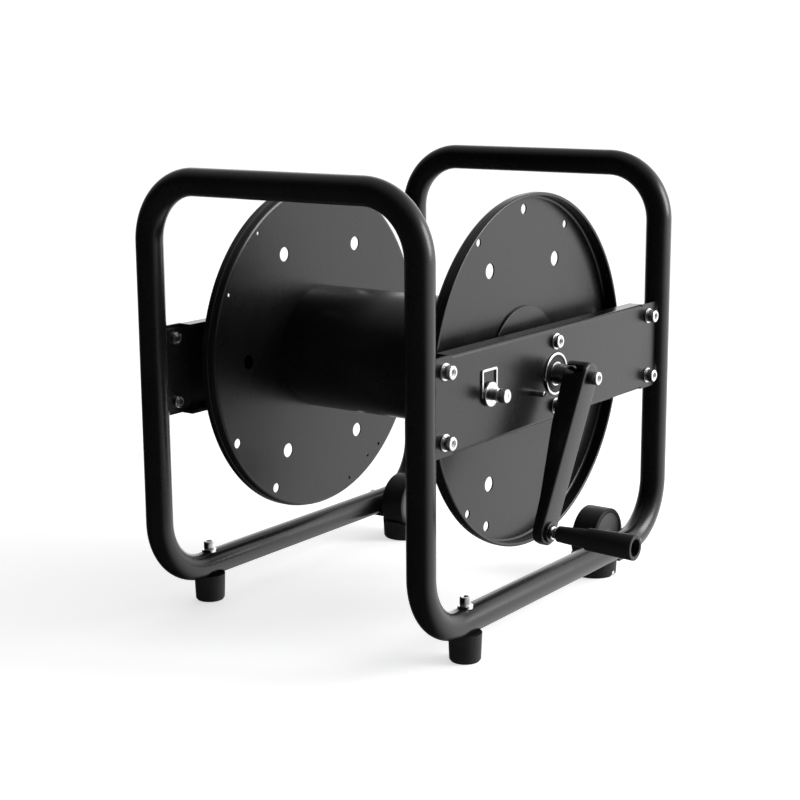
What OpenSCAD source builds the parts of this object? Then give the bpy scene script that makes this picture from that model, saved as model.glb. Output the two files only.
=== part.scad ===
// Garden hose reel on a tubular stand with a hand crank.
// Millimetres. +Z is up, the floor is z = 0. The crank is on the +X side and the front faces -Y.
// Inside the modules x is measured from the middle of the stand, and reel() shifts the whole reel
// so that the origin is the bottom centre of its bounding box.

/* [Stand] */
// Outside diameter of the frame tube
tube_d = 27; // [26:0.5:28]
// Bore of the frame tube
tube_bore = 23; // [22:0.5:24]
// Distance between the left and the right tube centres
frame_w = 318; // [318:1:322]
// Distance between the front and the rear tube centres
frame_d = 444; // [440:1:450]
// Height of the runner tube centres above the floor
runner_z = 38.5; // [37:0.5:40]
// Distance from the runner centres up to the top bar centres
frame_h = 400; // [398:1:420]
// Centreline radius of the tube bends
bend_r = 60; // [55:1:64]

/* [Drum] */
// Height of the drum axis above the floor
axis_z = 248.8; // [247:0.1:250]
// Outer radius of the flange rims
rim_r = 174.6; // [173:0.2:175]
// Distance between the inner faces of the two flanges
winding_w = 250; // [249:0.5:250]
// Radius of the core that the hose is wound on
core_r = 65; // [62:1:70]
// Radius of the circle of six large flange holes
big_hole_circle = 120; // [119:0.5:121]
// Diameter of the six large flange holes
big_hole_d = 15; // [14:0.5:16]

/* [Side plates] */
// Thickness of the side plates
plate_t = 3; // [2.5:0.5:3]
// Length of a side plate
plate_l = 416.8; // [414:0.2:417]
// Height of a side plate
plate_h = 90.5; // [88:0.5:92]
// Height of a side plate's lower edge above the floor
plate_z = 203.5; // [203:0.5:204]

/* [Crank] */
// Distance from the drum axis to the handle axis
throw = 155.5; // [150:0.5:158]
// Angle of the crank arm, from straight down towards the front
crank_angle = 29.2; // [20:0.1:40]
// Width of the pressed crank arm
arm_w = 28; // [27:0.5:28]
// Length of the handle, collar and grip together
handle_l = 80.6; // [76:0.2:81]

/* [Feet and wheels] */
// Diameter of the front rubber feet
foot_d = 32; // [30:1:34]
// Distance of the front feet from the middle of the stand
foot_y = 151; // [148:1:153]
// Radius of the rear wheels
wheel_r = 32; // [31:0.5:32]
// Width of the rear wheels
wheel_w = 28; // [26:1:28]
// Distance of the wheel axles from the middle of the stand
wheel_y = 157; // [155:1:158]

/* [Output] */
// The node to build, or all of them

/* [Hidden] */
$fn = 96;

// Stand
half_w = frame_w / 2;
half_d = frame_d / 2;
tube_r = tube_d / 2;
top_z = runner_z + frame_h;
sleeve_l = 60;
fit_gap = 0.02;

// Side plates, their lugs and screws. Each x is on the right side.
lug_x = half_w - 2;
lug_t = 4;
lug_h = 84;
lug_inner_y = 175;
plate_x = lug_x + lug_t;
plate_out_x = plate_x + plate_t;
return_depth = 17;
return_l = 364;
screw_y = 192;
screw_dz = 32;
m8_r = 4;
m8_hole_r = 4.3;
m8_head_r = 6.5;
m8_washer_r = 8;
m8_washer_t = 1.6;
plate_nut_t = 2.5;

// Bearings, size 6004
bearing_r = 21;
bearing_w = 12;
bearing_bore_r = 10;
bearing_out_x = plate_out_x + 1.8;
bearing_in_x = bearing_out_x - bearing_w;
ball_count = 9;
ball_circle = 15.5;
ball_r = 3.15;
outer_land_r = 17.6;
inner_land_r = 13.4;
running_gap = 0.03;

// Drum
flange_t = 1.5;
flange_x = winding_w / 2;
dish_depth = 13.7;
dish_bend_r = 5;
wall_in_r = 172.2;
bead_h = 7.5;
flange_r = wall_in_r - dish_bend_r + flange_t;
bead_in_r = 170.8;
bead_edge_r = 1.6;
bead_x = dish_depth + flange_t - bead_h - 0.5;
core_t = 2.5;
hub_plate_r = 63.5;
hub_plate_t = 2.5;
shaft_r = 10;
shaft_right_x = 180;
shaft_left_x = -171;

// Crank, in the arm's own direction
web_x = 204;
arm_t = 2;
arm_back_x = 180.6;
arm_top_r = 14.5;
arm_end = 12;
arm_notch_h = 9.5;
cone_end_x = 188;
crank_head_h = 8;
spacer_end_x = 214;
collar_x = 214.2;
collar_l = 30.8;
grip_bore_r = 8.15;
spindle_head_x = 262;
spindle_head_h = 8;

// Spring plunger that locks the drum
plunger_y = -120;
nose_r = 6;
nose_end_x = flange_x + flange_t + 0.4;
nose_l = 15;
barrel_r = 9;
barrel_x = 133;
neck_r = 5.25;
neck_end_x = 173.8;
stem_r = 3;
spring_seat_x = 159.5;
knob_face_x = 184.5;
knob_r = 6.5;
keeper_w = 26;
keeper_top = 24;
keeper_t = 1.6;
keeper_leg = 2.4;

// Feet and wheels
foot_gap_z = 12;
foot_screw_r = 3;
wheel_z = runner_z + 2;
wheel_out_x = 140.5;
wheel_mid_x = wheel_out_x - wheel_w / 2;
tyre_t = 5;
axle_r = 4;
shoe_r = 25;
shoe_y = 152;
shoe_h = 22;
shoe_pocket_gap = 1.5;
tab_t = 3;
tab_z = shoe_h;
shoe_screw_dx = 20;

// The lowest x is on the left screw heads and the highest on the end of the grip.
lowest_x = -(plate_out_x + m8_washer_t + 8);
highest_x = collar_x + handle_l;
centre_shift = -(lowest_x + highest_x) / 2;

black = [0.05, 0.05, 0.055];
grey = [0.32, 0.32, 0.34];
zinc = [0.78, 0.78, 0.8];
rubber = [0.03, 0.03, 0.03];

// Places the reel over the origin.
module reel() translate([centre_shift, 0, 0]) children();

// A cylinder along +X that starts at x.
module rod(x, r, l) translate([x, 0, 0]) rotate([0, 90, 0]) cylinder(r = r, h = l);

// A washer or ring along +X that starts at x.
module ring(x, r, bore_r, l) difference() {
    rod(x, r, l);
    rod(x - 1, bore_r, l + 2);
}

// A cone along +X that starts at x.
module taper(x, r1, r2, l) translate([x, 0, 0]) rotate([0, 90, 0]) cylinder(r1 = r1, r2 = r2, h = l);

// Moves its children to the drum axis.
module on_axis() translate([0, 0, axis_z]) children();

// Both sides of the stand: the right side as drawn and its mirror image.
module both_sides() {
    children();
    mirror([1, 0, 0]) children();
}

// The front end as drawn and its mirror image at the rear.
module both_ends() {
    children();
    mirror([0, 1, 0]) children();
}

// A straight length of frame tube along +Z.
module tube_run(l) difference() {
    cylinder(d = tube_d, h = l);
    translate([0, 0, -1]) cylinder(d = tube_bore, h = l + 2);
}

// A quarter bend of frame tube, from +X to +Y round the origin.
module tube_bend() rotate_extrude(angle = 90) translate([bend_r, 0]) difference() {
    circle(d = tube_d);
    circle(d = tube_bore);
}

// One bent hoop: the front half of the frame loop, from the middle of one runner to the other.
module hoop() {
    run = half_d - bend_r;
    both_sides() {
        translate([half_w, 0, runner_z]) rotate([90, 0, 0]) tube_run(run);
        translate([half_w, -run, runner_z + bend_r]) rotate([0, 0, -90]) rotate([-90, 0, 0]) tube_bend();
        translate([half_w, -half_d, runner_z + bend_r]) tube_run(frame_h - 2 * bend_r);
        translate([half_w - bend_r, -half_d, top_z - bend_r]) rotate([90, 0, 0]) tube_bend();
    }
    translate([-(half_w - bend_r), -half_d, top_z]) rotate([0, 90, 0]) tube_run(frame_w - 2 * bend_r);
}

module front_hoop() reel() color(black) difference() {
    hoop();
    both_sides() translate([half_w, -foot_y, runner_z - 20]) cylinder(r = foot_screw_r + 0.2, h = 40);
}

module rear_hoop() reel() color(black) difference() {
    mirror([0, 1, 0]) hoop();
    both_sides() translate([0, wheel_y, wheel_z]) rod(half_w - 20, axle_r + 0.1, 40);
}

// Sleeves inside the runners where the two hoops meet.
module runner_sleeves() reel() color(grey) both_sides()
    translate([half_w, sleeve_l / 2, runner_z]) rotate([90, 0, 0]) difference() {
        cylinder(d = tube_bore - 2 * fit_gap, h = sleeve_l);
        translate([0, 0, -1]) cylinder(d = tube_bore - 4, h = sleeve_l + 2);
    }

// Moves its children to the four screw places of the right side plate.
module at_plate_screws() for (y = [-screw_y, screw_y], dz = [-screw_dz, screw_dz])
    translate([0, y, axis_z + dz]) children();

// Moves its children to the two screws that hold the right bearing housing.
module at_housing_screws() for (dz = [-screw_dz, screw_dz])
    translate([0, 0, axis_z + dz]) children();

// Lugs welded to the posts. The side plates are screwed to them.
module plate_lugs() reel() color(black) both_sides() both_ends() difference() {
    translate([lug_x, -half_d + 5, axis_z - lug_h / 2]) cube([lug_t, half_d - 5 - lug_inner_y, lug_h]);
    translate([half_w, -half_d, 0]) cylinder(r = tube_r + fit_gap, h = top_z);
    at_plate_screws() rod(lug_x - 1, m8_hole_r, lug_t + 2);
}

// Section of a side plate with its two returns, drawn in x and z.
module channel_section() {
    bend = 3.5;
    difference() {
        union() {
            square([return_depth - bend, plate_h]);
            translate([return_depth - bend, bend]) square([bend, plate_h - 2 * bend]);
            for (z = [bend, plate_h - bend]) translate([return_depth - bend, z]) circle(r = bend);
        }
        translate([-1, plate_t]) square([return_depth - plate_t + 1, plate_h - 2 * plate_t]);
    }
}

// The side plate with the holes that both sides have.
module side_plate() difference() {
    union() {
        translate([plate_out_x - return_depth, return_l / 2, plate_z]) rotate([90, 0, 0])
            linear_extrude(return_l) channel_section();
        translate([plate_x, -plate_l / 2, plate_z]) cube([plate_t, plate_l, plate_h]);
    }
    on_axis() rod(plate_x - 1, bearing_r + 0.3, plate_t + 2);
    at_plate_screws() rod(plate_x - 1, m8_hole_r, plate_t + 2);
    at_housing_screws() rod(plate_x - 1, m8_hole_r, plate_t + 2);
}

stop_pin_r = 3;

// Moves its children to the small pin of the right side plate.
module at_stop_pin() translate([0, -40, 236.1]) children();

module right_plate() reel() color(black) difference() {
    side_plate();
    translate([0, plunger_y, axis_z]) rod(plate_x - 1, neck_r + fit_gap, plate_t + 2);
    at_stop_pin() rod(plate_x - 1, stop_pin_r + fit_gap, plate_t + 2);
}

module left_plate() reel() color(black) mirror([1, 0, 0]) side_plate();

module stop_pin() reel() color(zinc) at_stop_pin() {
    rod(plate_x - 2, stop_pin_r, plate_t + 13.5);
    taper(plate_x + plate_t + 11.5, stop_pin_r, stop_pin_r - 1, 1);
}

// A socket-head cap screw along -X. Its head starts at x and its shank is l long.
module cap_screw(x, r, head_r, head_h, l) {
    socket_r = r * 0.86;
    difference() {
        rod(x, head_r, head_h);
        translate([x + head_h / 2, 0, 0]) rotate([0, 90, 0]) cylinder(r = socket_r, h = head_h, $fn = 6);
    }
    rod(x - l, r, l + 0.5);
}

module plate_bolts() reel() color(zinc) both_sides() at_plate_screws()
    cap_screw(plate_out_x + m8_washer_t, m8_r, m8_head_r, 8, plate_t + lug_t + m8_washer_t + plate_nut_t + 0.5);

module plate_washers() reel() color(zinc) both_sides() at_plate_screws()
    ring(plate_out_x, m8_washer_r, m8_r + 0.2, m8_washer_t);

module plate_nuts() reel() color(zinc) both_sides() at_plate_screws()
    ring(lug_x - plate_nut_t, 6, m8_r + fit_gap, plate_nut_t);

// A bearing housing behind the right side plate: an oval flange and a cup for the bearing.
module bearing_housing() difference() {
    on_axis() {
        rod(plate_x - 5, 29, 5);
        rod(plate_x - 10.5, 24.5, 10.5);
        for (dz = [-screw_dz, screw_dz]) translate([0, 0, dz]) rod(plate_x - 5, 10, 5);
        translate([plate_x - 5, -10, -screw_dz]) cube([5, 20, 2 * screw_dz]);
    }
    on_axis() rod(bearing_in_x, bearing_r + fit_gap, 20);
    on_axis() rod(plate_x - 12, bearing_r - 4, 20);
    at_housing_screws() rod(plate_x - 7, m8_hole_r, 9);
}

module bearing_housing_right() reel() color(grey) bearing_housing();
module bearing_housing_left() reel() color(grey) mirror([1, 0, 0]) bearing_housing();

housing_nut_t = 5;

module housing_bolts() reel() color(zinc) both_sides() at_housing_screws()
    cap_screw(plate_out_x + m8_washer_t, m8_r, m8_head_r, 4.4, plate_t + 5 + m8_washer_t + housing_nut_t + 0.8);

module housing_washers() reel() color(zinc) both_sides() at_housing_screws()
    ring(plate_out_x, m8_washer_r, m8_r + 0.2, m8_washer_t);

module housing_nuts() reel() color(zinc) both_sides() at_housing_screws() difference() {
    translate([plate_x - 5 - housing_nut_t, 0, 0]) rotate([0, 90, 0])
        cylinder(r = 7.2, h = housing_nut_t, $fn = 6);
    rod(plate_x - 6 - housing_nut_t, m8_r + fit_gap, housing_nut_t + 2);
}

// Groove that the balls run in, round the drum axis.
module ball_groove() translate([bearing_in_x + bearing_w / 2, 0, 0]) rotate([0, 90, 0])
    rotate_extrude() translate([ball_circle, 0]) circle(r = ball_r + running_gap);

// Outer ring of a bearing, with a step at each end for a seal.
module bearing_outer() on_axis() difference() {
    ring(bearing_in_x, bearing_r, outer_land_r, bearing_w);
    ball_groove();
    rod(bearing_out_x - 1.5, outer_land_r + 1, 2);
    rod(bearing_in_x - 0.5, outer_land_r + 1, 2);
}

module bearing_outer_right() reel() color(zinc) bearing_outer();
module bearing_outer_left() reel() color(zinc) mirror([1, 0, 0]) bearing_outer();

// Balls of one bearing.
module bearing_balls() on_axis() for (i = [0 : ball_count - 1])
    rotate([i * 360 / ball_count, 0, 0])
        translate([bearing_in_x + bearing_w / 2, 0, ball_circle]) sphere(r = ball_r);

module bearing_balls_right() reel() color(zinc) bearing_balls();
module bearing_balls_left() reel() color(zinc) mirror([1, 0, 0]) bearing_balls();

module bearing_seals() reel() color(rubber) both_sides() on_axis()
    for (x = [bearing_in_x + 0.4, bearing_out_x - 1.4])
        ring(x, outer_land_r + 1 - fit_gap, inner_land_r + 0.1, 1);

module bearing_inner_rings() reel() color(zinc) both_sides() on_axis() difference() {
    ring(bearing_in_x, inner_land_r, bearing_bore_r + fit_gap, bearing_w);
    ball_groove();
}

clip_x = bearing_out_x + 0.2;

// The shaft runs through the core and both bearings. Its right end is threaded for the crank bolt.
module shaft() reel() color(grey) on_axis() difference() {
    rod(shaft_left_x, shaft_r, shaft_right_x - shaft_left_x);
    rod(shaft_right_x - 22, m8_r + fit_gap, 30);
    mirror([1, 0, 0]) ring(clip_x, shaft_r + 1, shaft_r - 0.8, 1.4);
}

// Retaining ring in the groove at the left end of the shaft.
module shaft_clip() reel() color(grey) on_axis() mirror([1, 0, 0]) difference() {
    ring(clip_x + 0.1, shaft_r + 3, shaft_r - 0.75, 1.2);
    translate([clip_x - 1, -3, 0]) cube([4, 6, 20]);
}

// Section of the right rim, drawn as radius and x from the flange's inner face: the bend that carries
// on from the flat disc, the wall of the dish and the rolled bead round its edge.
module rim_section() {
    translate([flange_r, dish_bend_r]) intersection() {
        difference() {
            circle(r = dish_bend_r);
            circle(r = dish_bend_r - flange_t);
        }
        translate([0, -dish_bend_r]) square(dish_bend_r);
    }
    translate([wall_in_r, dish_bend_r]) square([flange_t, bead_x - dish_bend_r + 0.01]);
    translate([bead_in_r, bead_x]) square([rim_r - bead_in_r, bead_h - bead_edge_r]);
    translate([bead_in_r + bead_edge_r, bead_x]) square([rim_r - bead_in_r - 2 * bead_edge_r, bead_h]);
    for (r = [bead_in_r + bead_edge_r, rim_r - bead_edge_r])
        translate([r, bead_x + bead_h - bead_edge_r]) circle(r = bead_edge_r);
}

module rim() on_axis() translate([flange_x, 0, 0]) rotate([0, 90, 0]) rotate_extrude($fn = 180) rim_section();

// The flat disc of a flange with its six large holes. drain lists [angle, radius, diameter] of the
// small holes.
module flange(drain) on_axis() difference() {
    ring(flange_x, flange_r, shaft_r + fit_gap, flange_t);
    for (a = [0 : 60 : 300]) at_polar(a, big_hole_circle) rod(flange_x - 1, big_hole_d / 2, flange_t + 2);
    for (h = drain) at_polar(h[0], h[1]) rod(flange_x - 1, h[2] / 2, flange_t + 2);
}

// Moves its children to an angle and a radius round the drum axis. Angle 0 is +Y and 90 is up.
module at_polar(angle, r) translate([0, r * cos(angle), r * sin(angle)]) children();

right_drain = [[90, 158, 10], [60, 158, 8], [121, 155, 8], [232, 159, 8], [246, 159, 10]];
left_drain = [[210, 162, 10], [240, 162, 10], [128, 164, 4], [154, 164, 4], [286, 162, 4],
    [300, 158, 4], [308, 162, 4]];

module right_flange() reel() color(black) flange(right_drain);
module left_flange() reel() color(black) mirror([1, 0, 0]) flange(left_drain);

module right_rim() reel() color(black) rim();
module left_rim() reel() color(black) mirror([1, 0, 0]) rim();

module core_tube() reel() color(black) on_axis() ring(-flange_x, core_r, core_r - core_t, winding_w);

// Hub plates welded outside the flanges. They carry the drum on the shaft.
module hub_plates() reel() color(black) both_sides() on_axis() {
    ring(flange_x + flange_t, hub_plate_r, shaft_r + fit_gap, hub_plate_t);
    ring(flange_x + flange_t, 16, shaft_r + fit_gap, 10);
}

module crank_cone() reel() color(zinc) on_axis() difference() {
    taper(shaft_right_x, shaft_r, 5.6, cone_end_x - shaft_right_x);
    rod(shaft_right_x - 1, m8_r + fit_gap, 20);
}

module crank_boss() reel() color(black) on_axis()
    ring(cone_end_x, 8, m8_r + fit_gap, web_x - arm_t - cone_end_x);

// Outline of the crank arm seen along the drum axis, with the hub at the origin and the arm along -Y.
module arm_outline(inset) {
    w = arm_w / 2 - inset;
    corner = 10 - inset;
    end = throw + arm_end - inset;
    circle(r = arm_top_r - inset);
    translate([-w, -end + corner]) square([2 * w, end - corner]);
    translate([-w + corner, -end]) square([2 * (w - corner), corner + 1]);
    for (s = [-1, 1]) translate([s * (w - corner), -end + corner]) circle(r = corner);
}

// Turns arm coordinates into the reel's: the arm hangs from the hub at the crank angle.
module in_arm() on_axis() rotate([-crank_angle, 0, 0]) children();

// A slab of the arm outline between two x positions.
module arm_slab(x1, x2, inset) translate([x1, 0, 0]) rotate([90, 0, 90])
    linear_extrude(x2 - x1) arm_outline(inset);

// The arm is a pressed channel that opens towards the side plate and gets shallower towards the handle.
// A notch in its front wall clears the end of the shaft.
module crank_arm() reel() color(black) in_arm() difference() {
    union() {
        arm_slab(arm_back_x, web_x - 1, 0);
        arm_slab(web_x - 1.5, web_x, 1);
        translate([0, 0, -throw]) rod(web_x - 0.5, 10, 3.5);
    }
    arm_slab(arm_back_x - 1, web_x - arm_t, arm_t);
    translate([0, arm_w, 0]) rotate([90, 0, 0]) linear_extrude(2 * arm_w) polygon([
        [arm_back_x - 1, 20], [arm_back_x, 20], [arm_back_x, 0], [183.3, -54], [192.4, -127],
        [195, -throw - 20], [arm_back_x - 1, -throw - 20]]);
    translate([arm_back_x - 1, -20, -2]) cube([web_x - 4 - arm_back_x, 17, arm_notch_h]);
    rod(web_x - 10, m8_r + 0.1, 20);
    translate([0, 0, -throw]) rod(web_x - 10, m8_r + 0.1, 20);
}

module crank_bolt() reel() color(zinc) on_axis()
    cap_screw(web_x + 0.5, m8_r, m8_head_r, crank_head_h, web_x + 0.5 - shaft_right_x + 18);

// Moves its children to the handle axis.
module at_handle() in_arm() translate([0, 0, -throw]) children();

// The handle turns on this long screw, whose head is inside the open end of the grip.
module handle_spindle() reel() color(zinc) at_handle()
    cap_screw(spindle_head_x + 0.2, m8_r, m8_head_r, spindle_head_h, spindle_head_x + 0.2 - (web_x - arm_t - 7));

module handle_spacer() reel() color(zinc) at_handle() difference() {
    union() {
        rod(web_x + 3, 6.3, 2);
        rod(web_x + 5, 5, spacer_end_x - web_x - 5);
    }
    rod(web_x, m8_r + fit_gap, 20);
}

module handle_nut() reel() color(zinc) at_handle() difference() {
    translate([web_x - arm_t - 6.5, 0, 0]) rotate([0, 90, 0]) cylinder(r = 7.2, h = 6.5, $fn = 6);
    rod(web_x - arm_t - 8, m8_r + fit_gap, 12);
}

module grip_collar() reel() color(black) at_handle() difference() {
    union() {
        taper(collar_x, 7.5, 9.25, collar_l);
        rod(collar_x + collar_l - 1, grip_bore_r - fit_gap, spindle_head_x - collar_x - collar_l + 1);
    }
    rod(collar_x - 1, m8_r + 0.06, 60);
}

module grip_sleeve() reel() color(black) at_handle() difference() {
    taper(collar_x + collar_l, 10.6, 12.05, handle_l - collar_l);
    rod(collar_x, grip_bore_r, handle_l + 5);
}

// Moves its children to the plunger axis.
module at_plunger() translate([0, plunger_y, axis_z]) children();

// The barrel sits behind the side plate and its neck passes through the plate.
module plunger_body() reel() color(black) at_plunger() difference() {
    union() {
        rod(barrel_x, barrel_r, plate_x - barrel_x);
        rod(plate_x - 1, neck_r, neck_end_x - plate_x + 1);
    }
    rod(barrel_x - 1, nose_r + 0.06, spring_seat_x - barrel_x + 1);
    rod(barrel_x, stem_r + 0.06, 60);
}

module plunger_flange() reel() color(zinc) at_plunger()
    ring(plate_out_x + keeper_t, 11.5, neck_r + fit_gap, 4 - keeper_t);

module lock_pin() reel() color(zinc) at_plunger() {
    taper(nose_end_x, nose_r - 1.5, nose_r, 1.5);
    rod(nose_end_x + 1.5, nose_r, nose_l - 1.5);
    rod(nose_end_x + nose_l - 1, stem_r, knob_face_x - 2 - nose_end_x - nose_l + 1);
}

module lock_knob() reel() color(zinc) at_plunger() difference() {
    union() {
        rod(neck_end_x + 0.1, 6.3, 1.6);
        rod(neck_end_x + 1.5, 5.2, 1);
        rod(neck_end_x + 2.3, knob_r, knob_face_x - neck_end_x - 2.8);
        taper(knob_face_x - 0.5, knob_r, knob_r - 0.5, 0.5);
    }
    rod(neck_end_x - 1, stem_r + fit_gap, knob_face_x - 2 - neck_end_x + 1);
}

// Spring in the barrel, between the nose and the barrel's end: rings of wire stand for its coils.
module lock_spring() reel() color(zinc) at_plunger() {
    spring_x = nose_end_x + nose_l + 0.7;
    spring_l = spring_seat_x - spring_x - 0.7;
    turns = 6;
    for (i = [0 : turns]) translate([spring_x + i * spring_l / turns, 0, 0]) rotate([0, 90, 0])
        rotate_extrude() translate([4.7, 0]) circle(r = 0.6);
    for (a = [0, 120, 240]) rotate([a, 0, 0]) translate([0, 4.7, 0])
        rod(spring_x, 0.3, spring_l);
}

// A flat wire bail over the plunger. Its two legs run down beside the plunger flange.
module lock_keeper() reel() color(zinc) at_plunger() difference() {
    translate([plate_out_x, -keeper_w / 2, -2]) cube([keeper_t, keeper_w, keeper_top + 2]);
    translate([plate_out_x - 1, -keeper_w / 2 + keeper_leg, -3])
        cube([keeper_t + 2, keeper_w - 2 * keeper_leg, keeper_top + 3 - keeper_leg]);
}

// Moves its children to the two front feet, at floor level.
module at_front_feet() both_sides() translate([half_w, -foot_y, 0]) children();

foot_h = runner_z - foot_gap_z;
insert_r = 5;
insert_h = 12;
foot_screw_end = foot_h - 10;
foot_washer_z = runner_z + tube_r;

// Rubber buffers under the runners, saddled to fit the tube.
module front_feet() reel() color(rubber) at_front_feet() difference() {
    union() {
        cylinder(r1 = foot_d / 2 - 2.5, r2 = foot_d / 2 - 1, h = 2);
        translate([0, 0, 2]) cylinder(r1 = foot_d / 2 - 1, r2 = foot_d / 2, h = runner_z - 11 - 2);
    }
    translate([0, 40, runner_z]) rotate([90, 0, 0]) cylinder(r = tube_r + fit_gap, h = 80);
    translate([0, 0, foot_h - insert_h]) cylinder(r = insert_r + fit_gap, h = insert_h + 20);
}

module front_foot_inserts() reel() color(zinc) at_front_feet() difference() {
    translate([0, 0, foot_h - insert_h]) cylinder(r = insert_r, h = insert_h - 1.6);
    translate([0, 0, foot_h - insert_h - 1]) cylinder(r = foot_screw_r + fit_gap, h = insert_h + 2);
}

// The washers are saddled to sit on the tube.
module front_foot_washers() reel() color(zinc) at_front_feet() difference() {
    translate([0, 0, foot_washer_z - 1]) cylinder(r = 7.5, h = 2.6);
    translate([0, 0, foot_washer_z - 2]) cylinder(r = foot_screw_r + 0.2, h = 5);
    translate([0, 40, runner_z]) rotate([90, 0, 0]) cylinder(r = tube_r + fit_gap, h = 80);
}

module front_foot_screws() reel() color(zinc) at_front_feet() {
    head_z = foot_washer_z + 1.6;
    difference() {
        translate([0, 0, head_z]) cylinder(r = 5.2, h = 8.4);
        translate([0, 0, head_z + 4.4]) cylinder(r = 2.9, h = 6, $fn = 6);
    }
    translate([0, 0, foot_h - insert_h + 0.5]) cylinder(r = foot_screw_r, h = head_z - foot_h + insert_h);
}

// Moves its children to the two rear feet, at floor level.
module at_rear_feet() both_sides() translate([wheel_mid_x, shoe_y, 0]) children();

// Round rubber feet below the wheels, each with a pocket that the wheel dips into.
module rear_feet() reel() color(rubber) at_rear_feet() difference() {
    union() {
        cylinder(r1 = shoe_r - 2.5, r2 = shoe_r - 1, h = 2);
        translate([0, 0, 2]) cylinder(r1 = shoe_r - 1, r2 = shoe_r, h = shoe_h - 2);
    }
    translate([0, wheel_y - shoe_y, wheel_z])
        rod(-wheel_w / 2 - shoe_pocket_gap, wheel_r + shoe_pocket_gap, wheel_w + 2 * shoe_pocket_gap);
    translate([shoe_screw_dx, 0, -1]) cylinder(r = 2.6, h = shoe_h + 2);
    translate([shoe_screw_dx, 0, -1]) cylinder(r = 4.6, h = 7);
}

// Tabs under the runners that carry the rear feet.
module rear_foot_tabs() reel() color(black) both_sides() difference() {
    translate([wheel_out_x + shoe_pocket_gap, shoe_y - 11, tab_z])
        cube([half_w - wheel_out_x + 3, 22, tab_t + 2.5]);
    translate([half_w, shoe_y + 40, runner_z]) rotate([90, 0, 0]) cylinder(r = tube_r + fit_gap, h = 80);
    translate([wheel_mid_x + shoe_screw_dx, shoe_y, 0]) cylinder(r = 2.5 + fit_gap, h = 60);
    translate([0, wheel_y, wheel_z]) rod(half_w - 20, m8_head_r + 4, 6);
}

module rear_foot_screws() reel() color(zinc) at_rear_feet() translate([shoe_screw_dx, 0, 0]) difference() {
    union() {
        translate([0, 0, 2.5]) cylinder(r = 4.4, h = 3.4);
        translate([0, 0, 5]) cylinder(r = 2.5, h = tab_z + tab_t - 5);
    }
    translate([0, 0, 2]) cylinder(r = 1.6, h = 2.4, $fn = 6);
}

// Moves its children to the right wheel axle.
module at_axle() translate([0, wheel_y, wheel_z]) children();

hub_r = wheel_r - tyre_t;

// Rubber tyre with chamfered shoulders.
module tyre() at_axle() difference() {
    union() {
        rod(wheel_mid_x - wheel_w / 2 + 2, wheel_r, wheel_w - 4);
        taper(wheel_mid_x - wheel_w / 2, wheel_r - 1.6, wheel_r, 2);
        taper(wheel_mid_x + wheel_w / 2 - 2, wheel_r, wheel_r - 1.6, 2);
    }
    rod(wheel_mid_x - wheel_w, hub_r, 2 * wheel_w);
}

// The hub is a solid disc with a shallow face on each side and a bore for the axle.
module wheel_hub() at_axle() difference() {
    rod(wheel_mid_x - wheel_w / 2 + 0.8, hub_r - fit_gap, wheel_w - 1.6);
    rod(wheel_mid_x - wheel_w, axle_r + 0.08, 2 * wheel_w);
}

module tyre_right() reel() color(rubber) tyre();
module tyre_left() reel() color(rubber) mirror([1, 0, 0]) tyre();
module wheel_hub_right() reel() color(grey) wheel_hub();
module wheel_hub_left() reel() color(grey) mirror([1, 0, 0]) wheel_hub();

axle_nut_t = 6.5;
axle_inner_x = wheel_out_x - wheel_w - axle_nut_t - 1;

// The axles are screws through the runners, with low heads on the outside.
module axle_bolts() reel() color(zinc) both_sides() at_axle()
    cap_screw(half_w + tube_r + 0.2, axle_r, m8_head_r, 5, half_w + tube_r + 0.2 - axle_inner_x);

// Spacers between the runners and the wheels, cut to fit the tube.
module axle_spacers() reel() color(zinc) both_sides() difference() {
    at_axle() ring(wheel_out_x + 0.4, 8, axle_r + 0.1, half_w - tube_r - wheel_out_x + 3);
    translate([half_w, wheel_y + 40, runner_z]) rotate([90, 0, 0]) cylinder(r = tube_r + fit_gap, h = 80);
}

module axle_nuts() reel() color(zinc) both_sides() at_axle() difference() {
    translate([axle_inner_x + 0.5, 0, 0]) rotate([0, 90, 0]) cylinder(r = 7.2, h = axle_nut_t, $fn = 6);
    rod(axle_inner_x - 1, axle_r + fit_gap, axle_nut_t + 4);
}

front_hoop();
rear_hoop();
runner_sleeves();
plate_lugs();
right_plate();
left_plate();
plate_bolts();
plate_washers();
plate_nuts();
bearing_housing_right();
bearing_housing_left();
housing_bolts();
housing_washers();
housing_nuts();
bearing_outer_right();
bearing_outer_left();
bearing_balls_right();
bearing_balls_left();
bearing_seals();
bearing_inner_rings();
shaft();
shaft_clip();
left_flange();
right_flange();
left_rim();
right_rim();
core_tube();
hub_plates();
crank_cone();
crank_boss();
crank_arm();
crank_bolt();
handle_spindle();
handle_spacer();
handle_nut();
grip_collar();
grip_sleeve();
plunger_body();
plunger_flange();
lock_pin();
lock_knob();
lock_spring();
lock_keeper();
stop_pin();
front_feet();
front_foot_inserts();
front_foot_screws();
front_foot_washers();
rear_feet();
rear_foot_tabs();
rear_foot_screws();
tyre_right();
tyre_left();
wheel_hub_right();
wheel_hub_left();
axle_bolts();
axle_spacers();
axle_nuts();
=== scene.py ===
"""Looks of the hose reel stand: its pieces in finer detail, their materials, the floor, the lights and
the camera. Sizes below are millimetres, measured from the middle of the stand and from the floor, as
in the CAD model; mm() turns them into metres in the model's frame."""

import math

import bmesh
import bpy
from mathutils import Matrix, Vector

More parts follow.
